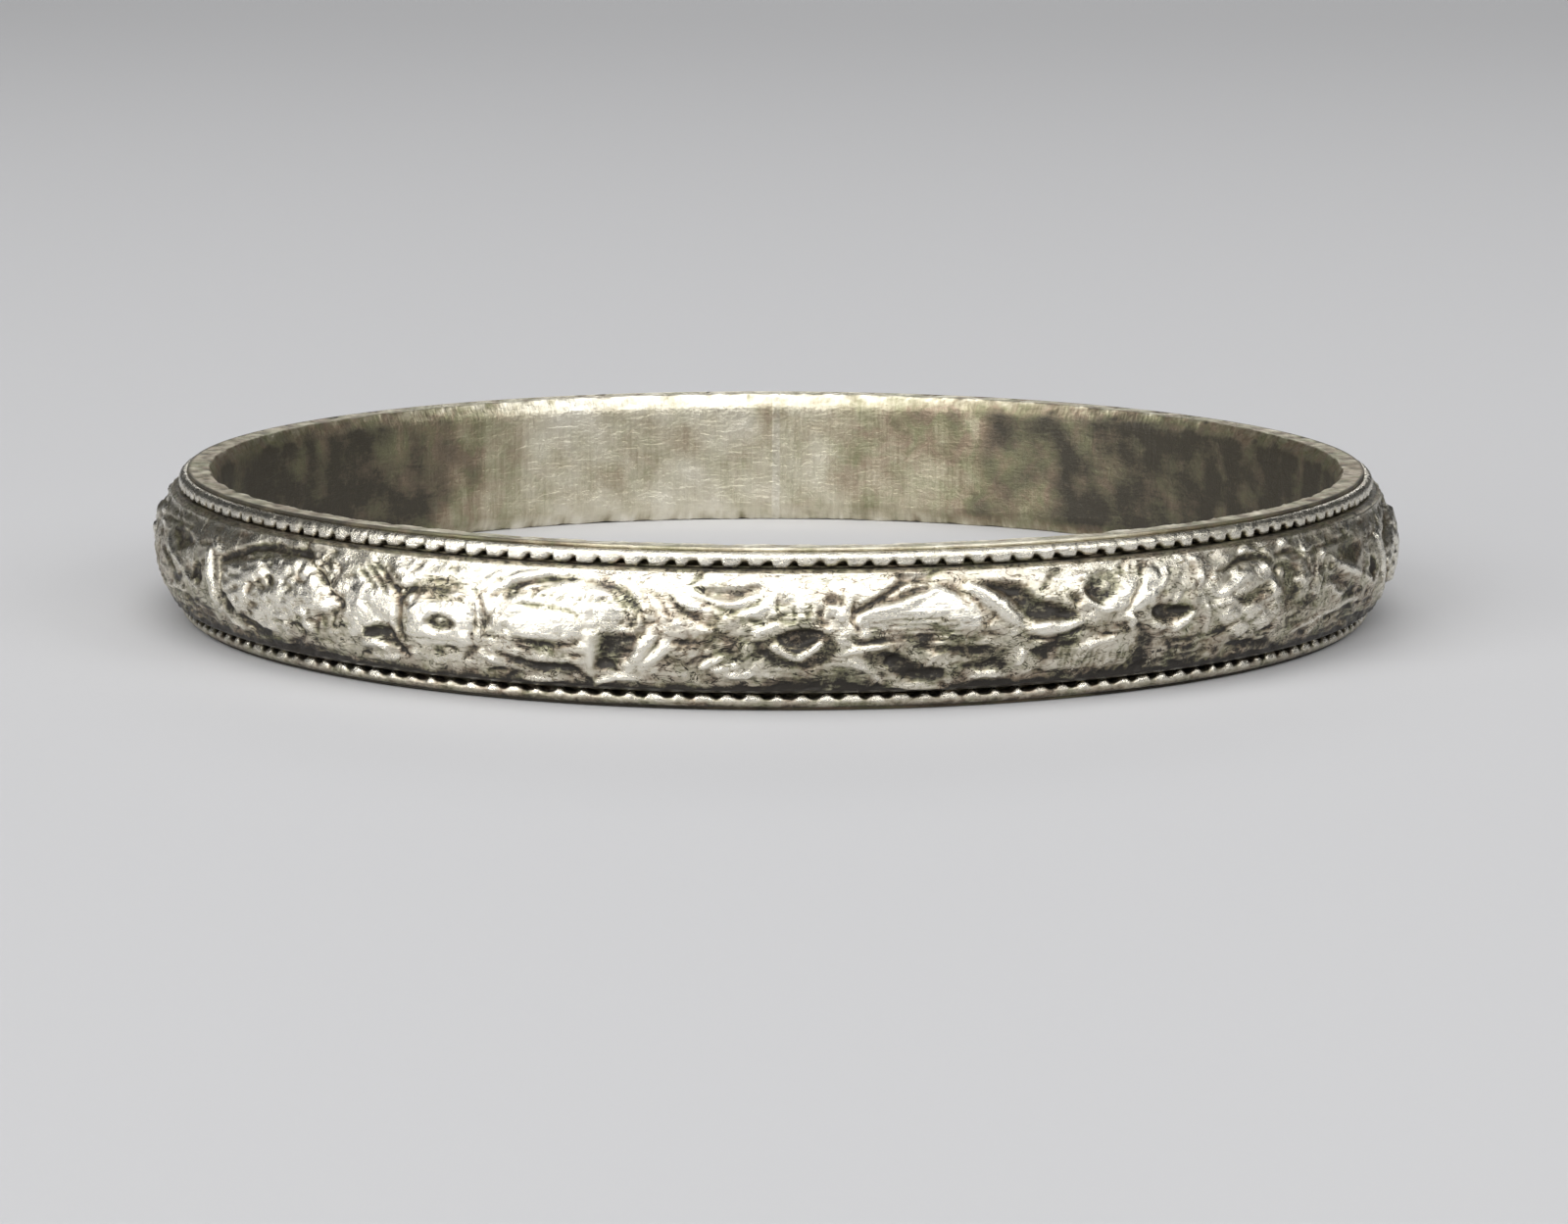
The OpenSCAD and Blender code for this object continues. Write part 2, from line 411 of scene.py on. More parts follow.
def leaning_flower(work):
    """A small eye with a slanted light edge, and two petals that lean over it beside an oval cup."""
    work.hollow([(-9.6, 48), (-8.8, 61), (-6.6, 65), (-5.8, 56), (-7, 36), (-8.2, 28)], 5, 7, -0.65)
    work.pillow([(-8.4, 50), (-7.6, 57), (-6.8, 54), (-7.6, 44)], 3, 6, 0.25)
    work.cut([(-9.2, 62), (-7.4, 68), (-4.8, 66)], 4, 3, -0.6)
    work.ridge([(-9.8, 40), (-8.2, 22), (-5.6, 14)], 6, 3, 0.6)
    work.pillow([(-7.9, 16), (-6.6, 35), (-5, 56), (-4.2, 58), (-4.9, 36), (-6.2, 18)], 3.5, 7, 1)
    work.pillow([(-4.9, 18), (-4.2, 42), (-2.8, 68), (-1.8, 66), (-2.2, 42), (-3.4, 20)], 3.5, 8, 1)
    work.cut([(-5.4, 14), (-4.6, 30), (-3.4, 56)], 4.5, 5, -0.8)
    work.ridge([(-2.4, 34), (-1.2, 52), (-0.8, 68)], 8, 3, 0.5)
    work.ridge([(-5.2, 12), (-5.1, 0), (-4.8, -12)], 14, 7, 1)
    work.hollow([(-3, 10), (-2, 20), (-0.4, 18), (1.6, 8), (0.6, -5), (-1, -8), (-2.6, -5)], 8, 8, -1, 0.4)
    work.ridge([(-0.9, -21), (0.3, -11), (1.7, 3)], 15, 7, 1)
    work.ridge([(-3, -9), (-2, -14), (-0.9, -18)], 6, 3, 0.6)
    work.hollow([(-4.2, -10), (-3, -16), (-2.4, -40), (-3, -70), (-4.2, -70), (-4.6, -40)], 3, 10, -0.6)
    work.ridge([(2.8, 24), (3.2, 0), (3, -34)], 10, 3, 0.5)
    work.ridge([(2.3, 44), (2.8, 50), (3.2, 60)], 12, 4.5, 1)
    work.pillow([(-12.6, -34), (-8, -24), (-4.8, -28), (-4.6, -56), (-9, -60), (-12.6, -54)], 1.2, 10, 0.35)
    work.hatch((-11.6, -44), (-8.2, -50), 7, (0.12, 12), 4.5, 2, -0.5)
    work.hatch((-7.4, -52), (-4.8, -44), 5, (-0.2, 9), 5, 2, -0.5)
    work.hatch((-11, -64), (-3.2, -66), 9, (0.5, 4), 5, 2.5, -0.55)
    work.ridge([(-10.8, -32), (-8, -26), (-5.6, -20)], 10, 3, 0.5)
    for k in range(4):
        y = -30 - 10 * k
        work.cut([(-1.8, y), (0.6, y - 6), (3.6, y - 3)], 4.5, 2.8, -0.6)


def upright_flower(work):
    """A dark eye between an oval cup and the tall light edge of a petal."""
    work.hollow([(-1.6, 2), (-0.8, 20), (0.3, 20), (0.9, 2), (0.2, -13), (-0.9, -10)], 7, 7, -0.9, 0.3)
    work.ridge([(-3.4, 0), (-2.2, -8), (-1, -18), (0.6, -20)], 10, 4, 0.7)
    work.hollow([(-8.6, 50), (-7, 60), (-3.8, 58), (-2.4, 46), (-3.6, 32), (-5.4, 22), (-7.4, 36)], 6, 10,
                -0.8, 0.3)
    work.cut([(-18, 50), (-13, 58), (-8.4, 62), (-3, 62)], 5, 3.5, -0.7)
    work.ridge([(-10.4, 42), (-8, 24), (-5.4, 10), (-3.8, 2)], 12, 4, 0.8)
    work.cut([(-12, 20), (-9.4, 4), (-6, -10)], 7, 4, -0.6)
    work.hollow([(-8.6, -22), (-6.6, -10), (-4.6, -12), (-6, -28)], 5, 8, -0.75)
    work.ridge([(-17, -54), (-12, -42), (-7, -33), (-4, -34)], 5, 3, 0.8)
    for k in range(3):
        y = -46 - 9 * k
        work.cut([(-11, y), (-6, y + 5), (-1, y + 2), (4, y - 2)], 5, 3, -0.6)
    work.ridge([(2.2, 42), (2.6, 20), (3.1, -2), (3.4, -26)], 20, 5, 1, ends="none")
    work.ridge([(2.4, 64), (3.2, 52), (4.2, 46)], 13, 4, 0.9)
    work.cut([(4, 40), (4.7, 22), (4.9, 0), (4.7, -20)], 6, 5, -0.8)
    work.cut([(-0.8, 52), (1.4, 50), (2.2, 54)], 5, 3, -0.6)


# ---- the leaves, each with its stalk at 0 ----

def bossed_leaf(work):
    """A leaf swelling to a bright boss, then a dark fold and long flowing creases."""
    work.pillow([(0.4, 10), (2.4, 46), (5.4, 62), (8.4, 64), (11, 50), (11.6, 20), (9.5, 4), (9.1, -40),
                 (6, -52), (2, -40)], 3.5, 30, 0.35)
    work.pillow([(2, 2), (3.4, 20), (6, 26), (7.6, 14), (8, -2), (6.4, -17), (3.6, -17)], 3, 13, 1)
    work.cut([(0, 38), (2.6, 58), (5.4, 68), (8, 70)], 7, 5.5, -0.85)
    work.cut([(1, 40), (3.6, 50), (6, 61)], 5, 3.5, -0.7)
    work.ridge([(0.4, 54), (2.8, 71), (5.2, 77)], 8, 3, 1)
    work.cut([(1.4, 30), (4.4, 32), (7.4, 26), (8.6, 10)], 5, 3, -0.7)
    work.cut([(1, -18), (4, -22), (7.4, -20), (8.5, -8)], 5, 3, -0.7)
    for k in range(4):
        y = -2 - 5 * k
        work.cut([(1.6 + 0.3 * k, y), (3.4, y - 10), (6, y - 12), (8, y - 4)], 4, 2, -0.4)
    for k in range(3):
        work.cut([(8 + k, 70), (10.4 + k * 0.7, 58), (12 + k * 0.6, 32), (12.5 + k * 0.6, 4)], 5, 3, -0.8)
    work.hatch((4, 44), (10.8, 42), 9, (0.5, 7), 5, 2.5, -0.6)
    work.hatch((2.4, -30), (8, -36), 7, (0.7, 2), 5, 2.5, -0.6)
    work.hollow([(0.4, -34), (3, -44), (7.4, -46), (7.8, -56), (4, -60), (1.6, -50)], 6, 9, -0.75)
    work.ridge([(2.6, -68), (4.4, -68), (6.4, -67)], 7, 4, 1)
    work.hollow([(9.9, 0), (12.8, -2), (12.7, -28), (11.4, -46), (9.3, -54), (9.1, -46), (9.8, -24)], 5, 7,
                -0.56)
    work.hatch((10.6, -10), (10.2, -44), 5, (1.2, 2), 3, 1.5, -0.5)
    work.ridge([(9.1, -16), (9, -36), (8.8, -52)], 7, 3, 0.7)
    work.ridge([(9, -69), (11, -60), (12.8, -60)], 10, 6, 0.9)
    work.hatch((7.2, -52), (8.6, -66), 4, (0.7, -3), 5, 3, -0.6)
    for k in range(4):
        x = 11.6 + 1.1 * k
        work.cut([(x, 66 - 3 * k), (x + 1.2, 42), (x + 2.4, 14 - 5 * k)], 4, 2.8, -0.6)
    work.ridge([(14.2, 5), (13.9, -12), (13, -32), (11.9, -54)], 17, 4.5, 1)
    work.ridge([(15.7, -10), (15, -24), (13.9, -40), (13, -50)], 15, 4.5, 1)
    work.cut([(15, 0), (14.4, -20), (13.3, -40)], 5, 3.5, -0.6)
    work.hatch((16, 40), (18.6, 14), 6, (0.9, -6), 4.5, 2.5, -0.5)
    work.hatch((15.4, -36), (19, -60), 7, (0.9, 3), 4.5, 2.5, -0.5)


def bladed_leaf(work):
    """A leaf under a thick line, then a bright blade, the dark hollow it bends over and a small lens."""
    work.pillow([(0, 20), (3, 45), (6, 60), (9, 55), (10.6, 25), (9.6, 5), (5, 6), (1.6, 10)], 4, 20, 0.8)
    work.hollow([(2, 42), (3.6, 56), (5.4, 66), (6.8, 62), (5, 49), (3.4, 42)], 4, 6, -0.65)
    work.cut([(0.2, 32), (2.2, 48), (4, 68), (5.2, 73), (7, 69)], 8.5, 6, -0.95, ends="end")
    work.ridge([(0, 25), (2, 33), (4.4, 42), (6.8, 58), (8, 62)], 9, 4, 1)
    work.cut([(7, 69), (8.8, 52), (10.2, 22)], 5.5, 3, -0.8)
    work.cut([(7.6, 70), (9.4, 54), (10.9, 26)], 5, 3, -0.7)
    for k in range(5):
        y = 20 - 7 * k
        work.cut([(0.8 + 0.4 * k, y - 4), (4, y), (7, y - 1), (9.6, y - 7)], 4, 3, -0.75)
    work.ridge([(1, 14), (1.1, 2), (1, -8)], 10, 3, 0.4)
    work.hollow([(0.2, -6), (2.4, -2), (2.6, -14), (0.2, -18)], 3, 5, -0.7)
    work.hollow([(2.4, -26), (5, -36), (8, -50), (8.2, -60), (5, -62), (3.2, -50)], 5, 8, -0.9)
    work.hollow([(5.6, -20), (9, -16), (13, -26), (12, -50), (8.8, -36)], 3, 10, -0.6)
    work.hatch((2.6, -20), (9.8, -28), 9, (0.4, -7), 5, 2.5, -0.5)
    work.ridge([(6, -46), (6.6, -34), (7, -28)], 7, 3, 0.5)
    work.ridge([(3.2, -67), (5.4, -69), (8, -71)], 9, 7, 1)
    work.ridge([(8.2, -72), (8, -56), (7.6, -46)], 9, 3, 0.4)
    work.hollow([(9, 66), (9.8, 50), (11.4, 26), (12.4, 12), (11.6, 40), (10.2, 62)], 4, 6, -0.6)
    work.hollow([(9.4, 67), (13, 70), (14.6, 60), (16, 42), (18, 32), (19.6, 16), (18, 7), (16, 5),
                 (14.6, 12), (13.4, 36), (11.6, 58)], 8, 10, -0.85, 0.3)
    work.ridge([(9.4, 62), (11, 50), (12.6, 30), (14, 8)], 22, 6, 1)
    work.pillow([(15, 0), (16.8, 9), (19.8, 8), (18.8, -5), (17.4, -10), (15.8, -8)], 6, 6, 1)
    work.ridge([(13.2, 12), (14.4, 5), (15.4, -2)], 4, 3, 0.7)
    work.cut([(13.8, -4), (16, -17), (18.4, -14), (20, 0)], 7, 5, -0.8)
    work.hollow([(14.8, -30), (17, -20), (19.6, -20), (18.6, -42), (16, -44)], 4, 8, -0.75)
    work.ridge([(14.4, -30), (14.1, -40), (13.8, -50)], 14, 8, 1)
    work.ridge([(9.8, -62), (11.4, -57), (13.2, -62)], 10, 7, 0.9)
    work.hollow([(8.8, -44), (12, -40), (13.2, -46), (12.6, -54), (9.6, -52)], 4, 6, -0.8)


def lobed_leaf(work):
    """A leaf broken into rounded lobes, dark past its tip."""
    work.pillow([(0, 15), (2, 40), (5, 56), (7.4, 50), (8, 10), (7, -35), (3, -45), (0.6, -25)], 3, 25, 0.3)
    work.cut([(1.6, 55), (3.4, 65), (6, 66), (8.2, 58)], 9, 6, -0.9)
    work.ridge([(3.6, 74), (4.8, 76), (6, 73)], 8, 3.5, 0.9)
    work.ridge([(-0.2, 20), (1.8, 30), (3.6, 44), (4.6, 44)], 13, 5, 1)
    work.ridge([(0.8, 8), (1.6, 11), (2.2, 17)], 8, 4, 0.8)
    work.hollow([(2, 14), (4, 22), (6.4, 30), (6.8, 10), (4.6, 0), (2.6, 2)], 4, 8, -0.6)
    work.ridge([(6.2, 54), (6.6, 46), (6.7, 38)], 12, 4.5, 1)
    work.ridge([(6.9, 26), (7.2, 18), (7.2, 8)], 12, 4.5, 1)
    for x, y, w in ((1.2, -14, 1.3), (3.8, -10, 1.3), (5.6, -28, 1.4), (2.8, -34, 1.2)):
        work.pillow([(x - w, y), (x, y + 13), (x + w, y + 2), (x + 0.2, y - 14)], 4, 10, 0.4)
        work.cut([(x - w, y - 2), (x, y - 16), (x + w, y - 4)], 4.5, 3, -0.6)
    work.hollow([(1.6, -50), (4.4, -50), (7.4, -56), (7, -63), (3, -60)], 5, 5, -0.9)
    work.hollow([(8, 50), (10.6, 54), (12, 40), (11.6, 10), (10, -6), (8.2, 10)], 4, 14, -0.6)
    work.cut([(8.4, 62), (10.6, 66), (12.4, 60)], 7, 5, -0.85)
    work.pillow([(8.2, 40), (8.8, 46), (9.2, 36), (8.6, 28)], 4, 7, 0.4)
    work.ridge([(10.6, 20), (11.4, 22), (12, 17)], 10, 4, 0.7)
    work.ridge([(12.6, 56), (13.6, 60), (14.4, 68)], 14, 4, 0.8)
    work.ridge([(15.2, 44), (15.9, 50), (16.4, 57)], 12, 4.5, 1)
    work.hatch((9, -10), (13.6, -16), 7, (0.45, -10), 5, 3, -0.6)
    work.ridge([(16.6, -6), (17.8, -13), (19.4, -18)], 8, 4.5, 1)
    work.cut([(16.4, 16), (18.2, 12), (20.4, 10)], 6, 4.5, -0.8)
    work.hatch((9.8, -42), (18, -44), 11, (0.5, -5), 5, 3, -0.6)
    work.hatch((14, 30), (20, 36), 7, (0.4, 8), 5, 3, -0.5)


def long_leaf(work):
    """A long full leaf with a grainy face and a ragged tip, under one thick dark line."""
    outline = [(1, 10), (2.4, 28), (6, 46), (10, 56), (13, 54), (15, 36), (17, 8), (15.6, -20), (13, -42),
               (8, -48), (4, -36), (1.4, -16)]
    work.pillow(outline, 4, 25, 0.6)
    work.cut([(0.4, 34), (3.4, 50), (7, 66), (10.4, 68), (13, 67)], 13, 6, -1, ends="none")
    work.cut([(13, 67), (14.3, 50), (15.6, 40), (16.6, 20), (18.2, 6), (17, -12)], 11, 7, -0.9)
    work.cut([(2, 34), (5.4, 47), (9, 54)], 4.5, 3, -0.6)
    work.ridge([(1.8, 28), (5, 40), (8.4, 48)], 5, 2.5, 0.6)
    for x, y, w, h in ((4.6, 28, 1, 7), (3.8, -6, 0.9, 6), (6.8, -10, 1, 7), (11.6, 50, 1.1, 8),
                       (14, 42, 1.2, 12), (9.6, 6, 1.4, 9), (12.4, 4, 1.6, 9), (15, 2, 1.5, 8)):
        work.pillow([(x - w, y), (x, y + h), (x + w, y), (x, y - h)], 3.5, 9, 0.95)
    work.cut([(7.6, 46), (8.3, 30), (8.8, 20)], 11, 5, -0.7)
    work.stipple(outline, 110, 9, -2.5, -0.4)
    work.stipple(outline, 130, 9, 2.5, 0.9)
    work.hollow([(0, -14), (2, -10), (2.8, -28), (2, -42), (0.6, -32)], 6, 7, -0.85)
    work.hollow([(2.8, -38), (5, -42), (8, -50), (7.4, -60), (4.6, -56)], 5, 6, -0.85)
    work.cut([(9, -38), (11.4, -32), (13, -42), (12, -56), (10, -56)], 7, 4, -0.6)
    work.ridge([(-0.2, -36), (1.8, -50), (4, -62)], 9, 3.5, 0.8)
    work.hatch((13.6, 64), (17, 56), 4, (0.5, -8), 5, 4, -0.7)
    work.hatch((15.2, -30), (19, -10), 5, (0.3, 12), 5, 2.5, -0.4)
    for k in range(3):
        y = -62 - 5 * k
        work.cut([(5 + k, y), (9, y + 2), (14, y), (18, y - 2)], 4, 2.5, -0.5)


def ground(work, count):
    """Short strokes all over the dome, which later cuts run across. Below the middle they lie flatter."""
    bow = 0.015
    for _ in range(count):
        work.at = work.rng.uniform(0, 360)
        y = work.rng.uniform(-0.8, 0.78)
        lean = work.rng.normal(0.3, 0.6) if y > 0 else work.rng.normal(0.05, 0.35)
        reach = work.rng.uniform(0.05, 0.2)
        dx, dy = reach * math.cos(lean) / MM_PER_DEG, reach * math.sin(lean)
        raised = work.rng.random() < 0.4
        width = work.rng.uniform(0.045, 0.09)
        up, tone = (0.022, 0.4) if raised else (-0.03, -0.7)
        work.stroke([(-dx, y - dy), (0, y + bow), (dx, y + dy)], width, up, tone)


# each flower and the leaf that follows it
MOTIFS = {"open": (open_flower, bladed_leaf), "leaning": (leaning_flower, lobed_leaf),
          "upright": (upright_flower, long_leaf), "framed": (framed_flower, bossed_leaf)}

# the turn of each flower's eye; hand-cut flowers aren't evenly spaced
EYES = [(2.0, "open"), (35.8, "leaning"), (67.5, "upright"), (100.0, "framed"), (133.5, "open"),
        (166.0, "leaning"), (198.0, "upright"), (231.5, "framed"), (264.5, "leaning"), (298.5, "upright"),
        (331.5, "framed")]
LEAF_AFTER_EYE = 4.3
GROUND_STROKES = 1500


def carve(turns, heights):
    """The whole relief of the strip."""
    work = Relief(turns, heights, seed=11)
    ground(work, GROUND_STROKES)
    for at, motif in EYES:
        flower, leaf = MOTIFS[motif]
        work.at = at + LEAF_AFTER_EYE
        leaf(work)
        work.at = at
        flower(work)
    return work


def soften(field, passes):
    """Each pass blends a field a little with its neighbours."""
    out = field.copy()
    for _ in range(passes):
        side = np.pad(out, 1, mode="edge")
        out = 0.5 * out + 0.125 * (side[:-2, 1:-1] + side[2:, 1:-1] + side[1:-1, :-2] + side[1:-1, 2:])
    return out


# ---- the floral strip ----

# sections round the band, and those worked past each end, so that blurring doesn't show at the seam
STRIP_COLUMNS = 1600
BLUR_REACH = 60

# how far the ground lies under the dome, how near to the dome raised work levels off, and the deepest cut
RELIEF_FLOOR = 0.07
HEADROOM = 0.03
DEEPEST_CUT = 0.19
EDGE_ROUND = 0.045

# unevenness left by hand and wear, as uneven takes it; the grain is scaled where it is used
STRIP_WAVES = [(0.006, 0.42, 5), (0.005, 1.4, 7)]
STRIP_GRAIN = [(1, 0.2, 6, 1.6)]

# tone that a hollow loses for each mm under its blurred surroundings, then the painted highlight that the
# band gets above its middle and the painted shade that it gets below it
HOLLOW_BLUR = 50
HOLLOW_TARNISH = 7
PAINTED_HIGHLIGHT_ABOVE, PAINTED_SHADE_BELOW = 0.22, 0.12

# painted highlight: the strip is brighter round one turn
PAINTED_SHEEN_AT = -18
PAINTED_SHEEN_SPREAD = 28
PAINTED_SHEEN_MORE = 0.28

# painted shade towards the lower edge, at both edges, and at the lower edge itself
LOW_SHADE, EDGE_SHADE, LOW_EDGE_SHADE = 0.55, 0.3, 0.7
# painted shade on the strip's edge walls and back, in the grooves beside the wires
BACK_TONE = -0.8


def dome_section():
    """Heights over mid-band, radii and slopes of points up the dome, closer together at its two edges."""
    reach = math.asin(strip_half / dome_r)
    near_edge = reach - np.array([0, 0.006, 0.014, 0.025, 0.04]) / dome_r
    between = np.linspace(-near_edge[-1], near_edge[-1], 46)[1:-1]
    slope = np.concatenate([-near_edge, between, near_edge[::-1]])
    return dome_r * np.sin(slope), dome_axis_r + dome_r * np.cos(slope), slope


def worn_relief(relief, turns, heights):
    """The relief as wear has left it, under the smooth dome and rounded off at the strip's two edges."""
    low_half = np.clip(0.6 - heights, 0, 1)[None, :]
    up = relief + uneven(turns, heights[None, :], STRIP_WAVES)
    up += (0.0025 + 0.004 * low_half) * uneven(turns, heights[None, :], STRIP_GRAIN)
    up -= RELIEF_FLOOR
    levelled = -HEADROOM * np.exp(-np.clip(up + HEADROOM, 0, None) / HEADROOM)
    up = np.maximum(np.where(up > -HEADROOM, levelled, up), -DEEPEST_CUT)
    corner = 1 - ramp(strip_half - np.abs(heights), 0, EDGE_ROUND)
    return up * (1 - 0.6 * corner) - EDGE_ROUND * (1 - np.sqrt(1 - 0.96 * corner**2))


def strip_tone(worked, relief, turns, heights):
    """The tone that the tools left, darker in hollows, with painted shade low down and at the edges, and
    painted highlights above the middle and round one turn.
    """
    hollows = np.clip(soften(relief, HOLLOW_BLUR) - relief, 0, None)
    # painted highlight above the middle of the band and painted shade below it
    lean = np.where(heights > -0.05, PAINTED_HIGHLIGHT_ABOVE, PAINTED_SHADE_BELOW) * np.tanh((heights + 0.05) / 0.25)
    # painted highlight round one turn, strongest on raised work
    off_sheen = (turns - PAINTED_SHEEN_AT + 180) % 360 - 180
    painted_sheen = PAINTED_SHEEN_MORE * np.exp(-(off_sheen / PAINTED_SHEEN_SPREAD) ** 2)[:, None]
    tone = worked - hollows * HOLLOW_TARNISH + lean[None, :] + painted_sheen * np.clip(1 + 1.5 * worked, 0, 1)
    # painted shade towards the lower edge, at both edges and at the lower edge itself
    tone = np.clip(tone - LOW_SHADE * ramp(-heights, 0.6, 0.17)[None, :], -1, 1)
    tone -= EDGE_SHADE * (1 - ramp(strip_half - np.abs(heights), 0, 0.03))[None, :]
    return tone - LOW_EDGE_SHADE * ramp(-heights, 0.75, 0.05)[None, :]


def strip_loops(turns):
    """Sections of the floral strip with its relief, and their tone."""
    heights, radii, slope = dome_section()
    beyond = np.arange(1, BLUR_REACH + 1) * (turns[1] - turns[0])
    turns = np.concatenate([turns[0] - beyond[::-1], turns, turns[-1] + beyond])
    work = carve(turns, heights)
    relief = soften(work.up, 1)
    up = worn_relief(relief, turns, heights)
    tone = strip_tone(soften(work.tone, 1), relief, turns, heights)
    r = radii + up * np.cos(slope)
    z = mid_z + heights + up * np.sin(slope)
    side = seat_r + (strip_edge_t - EDGE_ROUND) * np.array([0.75, 0.4, 0.0])
    back_r = np.concatenate([side, [seat_r, seat_r], side[::-1]])
    back_z = mid_z + strip_half * np.array([1, 1, 1, 0.33, -0.33, -1, -1, -1])
    flat = np.ones((len(turns), 1))
    tone = np.hstack([tone, flat * np.full(len(back_r), BACK_TONE)])
    kept = slice(BLUR_REACH, -BLUR_REACH)
    return np.hstack([r, flat * back_r])[kept], np.hstack([z, flat * back_z])[kept], tone[kept]


# ---- the shank ----

def arc(middle, radius, first, last, count):
    """Points on an arc, its angles in degrees from the outward direction towards the upper edge."""
    a = np.radians(np.linspace(first, last, count))
    return [(middle[0] + radius * math.cos(k), middle[1] + radius * math.sin(k)) for k in a]


def line(start, end, count):
    """Points after start, up to and with end."""
    return [(start[0] + (end[0] - start[0]) * k / count, start[1] + (end[1] - start[1]) * k / count)
            for k in range(1, count + 1)]


# unevenness of the bore, of its rims, of the bore's tone and of the nicks, as uneven takes it
BORE_WEAR = [(0.0035, 1.3, 21), (0.0012, 0.35, 22)]
RIM_WEAR = [(0.0045, 0.3, 24, 1.8), (0.003, 0.14, 25)]
STAINS = [(0.1, 2.2, 26, 0.8), (0.08, 0.7, 27)]
NICKS = [(1, 0.4, 23)]
NICK_DEPTH = 0.014

# how high a rim's rubbed part reaches, and what the wear takes off all of the bore
RIM_REACH = 0.25
WORN_OFF = 0.006

# tone of the bore and its rims, and the painted shade that both get on the band's two sides
BORE_TONE, BORE_SIDE_SHADE = 0.27, 1.2
RIM_TONE, BEVEL_SIDE_SHADE = 0.6, 0.8
# tone of the grooves under the wires: tarnish and painted shade, darker under the lower wire
UPPER_GRIME_AND_SHADE, LOWER_GRIME_AND_SHADE = -0.6, -0.85


def shank_section():
    """Half of the section, from the middle of its outside over the upper edge to the middle of the bore, and
    then its mirror image."""
    cove = wire_rad + 0.004
    open_angle = math.degrees(math.acos((wire_r - seat_r) / cove))
    wire_z = band_w - wire_in
    corner, lip, throat = 0.025, 0.05, 0.15
    lean = math.degrees(math.atan2(bevel_out, bevel_in))
    half = [(seat_r, mid_z + 0.3), (seat_r, mid_z + strip_half)]
    half += arc((wire_r, wire_z), cove, 180 + open_angle, 180 - open_angle, 9)
    half += arc((seat_r - corner, band_w - corner), corner, 0, 90, 4)
    lip_reach = lip * math.tan(math.radians((90 - lean) / 2))
    half += line(half[-1], (bore_r + bevel_out + lip_reach, band_w), 7)
    half += arc((bore_r + bevel_out + lip_reach, band_w - lip), lip, 90, 180 - lean, 5)[1:]
    throat_reach = throat * math.tan(math.radians(lean / 2))
    half += line(half[-1], (bore_r + throat_reach * math.sin(math.radians(lean)),
                            band_w - bevel_in + throat_reach * math.cos(math.radians(lean))), 4)
    half += line(half[-1], (bore_r, band_w - bevel_in - throat_reach), 2)
    half += line(half[-1], (bore_r, mid_z), 11)
    lower = [(r, band_w - z) for r, z in half[-2::-1]]
    points = np.array(half + lower)
    return points[:, 0], points[:, 1]


def section_normals(r, z):
    """Outward directions at the points of one section, or of many."""
    dr = np.roll(r, -1, -1) - np.roll(r, 1, -1)
    dz = np.roll(z, -1, -1) - np.roll(z, 1, -1)
    size = np.maximum(np.hypot(dr, dz), 1e-9)
    return dz / size, -dr / size


def shank_loops(turns):
    """The shank, with its bore worn wavy and its rims worn and nicked. Its grooves are dark with tarnish and
    painted shade, and its bore and rims get painted shade on the band's two sides.
    """
    r0, z0 = shank_section()
    nr, nz = section_normals(r0, z0)
    to_rim = np.minimum(z0, band_w - z0)
    outside = r0 > seat_r - 0.03
    rim = (1 - ramp(to_rim, 0, RIM_REACH)) * ~outside
    spot = (z0 + r0)[None, :]
    rough = uneven(turns, spot, RIM_WEAR)
    nicks = np.clip(uneven(turns, spot, NICKS) - 1.7, 0, None) * NICK_DEPTH
    push = uneven(turns, spot, BORE_WEAR) + (rough - nicks) * rim - WORN_OFF
    push = np.where(outside[None, :], 0.0, push)
    r = r0 + push * nr
    z = np.clip(z0 + push * nz, 0, band_w)
    # painted shade: the bore and the rims darken towards the band's two sides, the flat rim tops more so
    side = np.abs(np.sin(np.radians(turns)))[:, None]
    off_middle = ((turns + 90) % 180 - 90)[:, None]
    dimming = np.maximum(ramp(off_middle, 27, 22), ramp(-off_middle, -3, 44))
    flat = ramp(r0, bore_r + bevel_out, 0.06)[None, :]
    # the rims are worn bright, less so on the flat top, with painted shade towards the band's two sides
    rim_wear_and_shade = RIM_TONE - flat * (0.45 + 0.5 * side) - (1 - flat) * BEVEL_SIDE_SHADE * dimming + 40 * (rough - nicks)
    plain = uneven(turns, spot, STAINS) + BORE_TONE - BORE_SIDE_SHADE * dimming
    # the grooves under the wires are dark: tarnish and painted shade
    grime_and_shade = np.where(z0 > mid_z, UPPER_GRIME_AND_SHADE, LOWER_GRIME_AND_SHADE)[None, :]
    in_groove = (outside & (to_rim > 0.05))[None, :]
    tone = np.where(in_groove, grime_and_shade, plain * (1 - rim) + rim * rim_wear_and_shade)
    # painted shade along the lowest edge of the outside, where the band meets the floor
    tone -= 0.9 * (outside & (z0 < 0.1))[None, :]
    return r, z, np.clip(tone, -1, 1)


# ---- the milgrain wires ----

WIRE_SIDES = 20
BEAD_STEPS = 16

# how uneven the beads are: where each is highest, and how high it is, with its limits
BEAD_SKEW = 0.07
BEAD_SIZE, SMALLEST_BEAD, LARGEST_BEAD = 0.12, 0.7, 1.15


